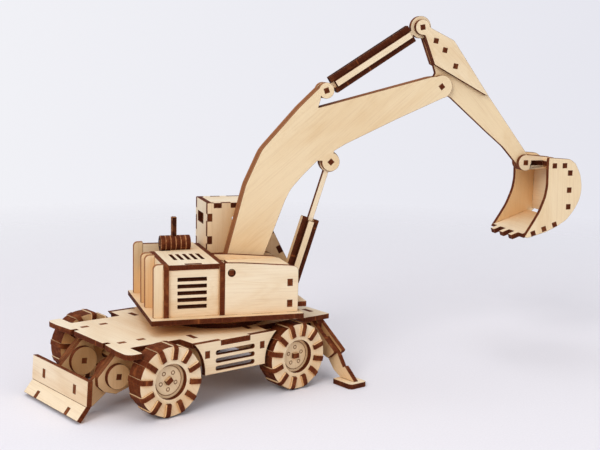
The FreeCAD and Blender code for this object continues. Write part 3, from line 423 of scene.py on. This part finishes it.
def prepare(name, o):
    me = o.data
    rnd = random.Random("seed-" + name)
    co, solids, vs = solids_of(me)
    nf = len(me.polygons)
    nr = np.zeros(nf * 3, np.float32)
    me.polygons.foreach_get("normal", nr)
    nr = nr.reshape(-1, 3).astype(float)
    ar = np.zeros(nf, np.float32)
    me.polygons.foreach_get("area", ar)
    ar = ar.astype(float)
    pl = np.zeros((len(co), 3), np.float32)
    sd = np.zeros((len(co), 3), np.float32)
    mi = np.zeros(nf, np.int32)
    for k, faces in enumerate(solids):
        f = np.array(faces)
        sel = vs == k
        pts = co[sel]
        n = np.array(NORMAL[(name, k)]) if (name, k) in NORMAL else dominant_normal(nr[f], ar[f])
        n = n / np.linalg.norm(n)
        if name in GRAIN:
            g = np.array(GRAIN[name])
            g = g - n * (g @ n)
        else:
            g = np.zeros(3)
        if np.linalg.norm(g) < 0.3:
            cen = pts.mean(0)
            q = pts - cen
            q = q - np.outer(q @ n, n)
            cov = q.T @ q
            w, vecs = np.linalg.eigh(cov)
            g = vecs[:, -1]
        g = g / np.linalg.norm(g)
        turn = math.radians(rnd.uniform(-3, 3))
        b = np.cross(n, g)
        g, b = g * math.cos(turn) + b * math.sin(turn), b * math.cos(turn) - g * math.sin(turn)
        h = pts @ n
        mid, half = (h.max() + h.min()) / 2, (h.max() - h.min()) / 2
        c0 = pts.mean(0)
        pl[sel] = np.stack([(pts - c0) @ g, (pts - c0) @ b, h - mid], 1) * 1000.0
        # painted shade amount of the piece, smaller for pieces on the near side
        painted_shade_amount = PAINTED_SHADE.get(name, 0.0) * (NEAR_SIDE_SHADE_FACTOR.get(name, 1.0) if c0[1] < 0.018 else 1.0)
        sd[sel] = [min(max(TONE.get(name, 0.45) + 0.35 * (rnd.random() - 0.5), 0.0), 1.0), painted_shade_amount + 0.03 * rnd.random(), LIGHT_EDGE.get(name, 0.22) + 0.06 * rnd.random()]
        flat = np.abs(nr[f] @ n) > 0.95
        idx = np.where(flat, 0, 1)
        # engraved bottoms lie a little below the face
        verts0 = np.array([me.polygons[int(i)].vertices[0] for i in f])
        lev = np.abs(co[verts0] @ n - mid)
        if name.endswith("tyre_discs"):
            cut = (lev > half - 6e-4) & np.where(flat, lev < half - 1e-4, np.array([groove(me, int(i), co, n, mid, half) for i in f]))
            idx[cut] = 3
        if name in BLIND:
            idx[flat & (lev < half - 2e-4)] = 1
        if (name, k) in ALL_EDGE:
            idx[:] = 1
        mi[f] = idx
    for nm, kind, data in (("pl", "FLOAT_VECTOR", pl), ("sd", "FLOAT_VECTOR", sd)):
        a = me.attributes.new(nm, kind, "POINT")
        a.data.foreach_set("vector", data.ravel())
    a = me.attributes.new("sid", "FLOAT", "POINT")
    a.data.foreach_set("value", vs.astype(np.float32))
    me.materials.clear()
    for m in (FACE, EDGE, RIM, ENGRAVED):
        me.materials.append(PALE_RIM if m is RIM and name == "muffler" else m)
    me.polygons.foreach_set("material_index", mi)
    me.update()
    w = o.modifiers.new("weld", "NODES")
    w.node_group = WELD
    d = o.modifiers.new("planar", "DECIMATE")
    d.decimate_type = "DISSOLVE"
    d.angle_limit = math.radians(0.4)
    d.delimit = {"MATERIAL"}
    bv = o.modifiers.new("edge_break", "BEVEL")
    bv.width = BEVEL.get(name, 0.00014)
    bv.segments = 1
    bv.limit_method = "ANGLE"
    bv.angle_limit = math.radians(35)
    bv.use_clamp_overlap = False
    bv.material = 2
    bv.miter_outer = "MITER_SHARP"
    s = o.modifiers.new("shade", "NODES")
    s.node_group = SMOOTH
    return len(solids)


total = 0
for name in sorted(NODES):
    total += prepare(name, NODES[name])
print("solids read", total)


# ------------------------------------------------------------------ floor, lights, camera
def floor():
    n, r = 96, 3.2
    verts = [(0, 0, 0)]
    rings = [0.15, 0.3, 0.5, 0.8, 1.2, 1.8, 2.5, r]
    for q in rings:
        verts += [(q * math.cos(2 * math.pi * i / n), q * math.sin(2 * math.pi * i / n), -0.00005) for i in range(n)]
    faces = [(0, 1 + i, 1 + (i + 1) % n) for i in range(n)]
    for k in range(len(rings) - 1):
        a, b = 1 + k * n, 1 + (k + 1) * n
        faces += [(a + i, b + i, b + (i + 1) % n, a + (i + 1) % n) for i in range(n)]
    me = bpy.data.meshes.new("floor")
    me.from_pydata(verts, [], faces)
    o = bpy.data.objects.new("floor", me)
    scene.collection.objects.link(o)
    m = bpy.data.materials.new("studio_floor")
    m.use_nodes = True
    m.node_tree.nodes.clear()
    t = Tree(m.node_tree)
    out = t.new("ShaderNodeOutputMaterial")
    dif = t.new("ShaderNodeBsdfPrincipled")
    geo = t.new("ShaderNodeNewGeometry")
    length = t.new("ShaderNodeVectorMath")
    length.operation = "LENGTH"
    t.set(length, "i0", geo.outputs["Position"])
    paper = t.noise(t.vmul(geo.outputs["Position"], (900.0, 900.0, 900.0)), 1.0, 2.0, 0.5)
    t.set(dif, "Base Color", t.mix(t.maprange(paper, 0.3, 0.7, 0.0, 1.0), FLOOR_A, FLOOR_B))
    t.set(dif, "Roughness", 0.85)
    t.set(dif, "IOR", 1.2)
    tr = t.new("ShaderNodeBsdfTransparent")
    mx = t.new("ShaderNodeMixShader")
    t.set(mx, "i0", t.maprange(length.outputs["Value"], 0.26, 0.75, 0.0, 1.0))
    t.nt.links.new(dif.outputs[0], mx.inputs[1])
    t.nt.links.new(tr.outputs[0], mx.inputs[2])
    t.nt.links.new(mx.outputs[0], out.inputs[0])
    me.materials.append(m)
    return o


FLOOR_A, FLOOR_B = lin(227, 224, 229), lin(231, 228, 233)
floor()

world = bpy.data.worlds.new("studio")
scene.world = world
world.use_nodes = True
world.node_tree.nodes.clear()
t = Tree(world.node_tree)
wo = t.new("ShaderNodeOutputWorld")
seen, glow = t.new("ShaderNodeBackground"), t.new("ShaderNodeBackground")
wc = t.new("ShaderNodeTexCoord")
wx = t.new("ShaderNodeSeparateXYZ")
t.set(wx, "i0", wc.outputs["Window"])
# the backdrop seen by the camera is painted lighter on the left and darker on the right, a painted light falloff
t.set(seen, "Color", t.mix(wx.outputs[0], lin(241, 241, 246), lin(231, 231, 239)))
t.set(seen, "Strength", 1.0)
t.set(glow, "Color", (0.93, 0.95, 1.0, 1))
t.set(glow, "Strength", 0.56)
lp = t.new("ShaderNodeLightPath")
mx = t.new("ShaderNodeMixShader")
t.set(mx, "i0", lp.outputs["Is Camera Ray"])
t.nt.links.new(glow.outputs[0], mx.inputs[1])
t.nt.links.new(seen.outputs[0], mx.inputs[2])
t.nt.links.new(mx.outputs[0], wo.inputs[0])


def area(name, loc, target, size, power, colour):
    d = bpy.data.lights.new(name, "AREA")
    d.shape = "DISK"
    d.size = size
    d.energy = power
    d.color = colour
    o = bpy.data.objects.new(name, d)
    o.location = loc
    o.rotation_euler = (Vector(target) - Vector(loc)).to_track_quat("-Z", "Y").to_euler()
    scene.collection.objects.link(o)
    return o


C = Vector((0.0, 0.0, 0.08))
area("key_left", (-1.55, -0.75, 1.15), C, 1.1, 20.0, (1.0, 0.985, 0.965))
area("top", (-0.1, 0.1, 1.7), C, 1.6, 10.0, (1.0, 1.0, 1.0))
area("fill_front", (0.5, -1.7, 0.7), C, 1.2, 5.0, (1.0, 0.98, 0.95))

cam = bpy.data.cameras.new("camera")
cam.lens = 67.61
cam.sensor_width = 36.0
cam.sensor_fit = "HORIZONTAL"
cam.clip_start, cam.clip_end = 0.02, 30.0
co = bpy.data.objects.new("camera", cam)
R = Vector((0.77494267, -0.63164846, 0.02200206))
D = Vector((-0.0837215, -0.13709476, -0.98701355))
F = Vector((0.62646195, 0.76303686, -0.15912313))
M = Matrix.Identity(4)
for i in range(3):
    M[i][0], M[i][1], M[i][2] = R[i], -D[i], -F[i]
ox, oy = 0.077039, -0.018245               # chassis centre to row origin
M[0][3], M[1][3], M[2][3] = -0.359535 - ox, -0.540367 - oy, 0.199596
co.matrix_world = M
scene.collection.objects.link(co)
scene.camera = co

scene.view_settings.view_transform = "Standard"
scene.view_settings.look = "None"
scene.view_settings.exposure = 0.0
scene.view_settings.gamma = 1.0
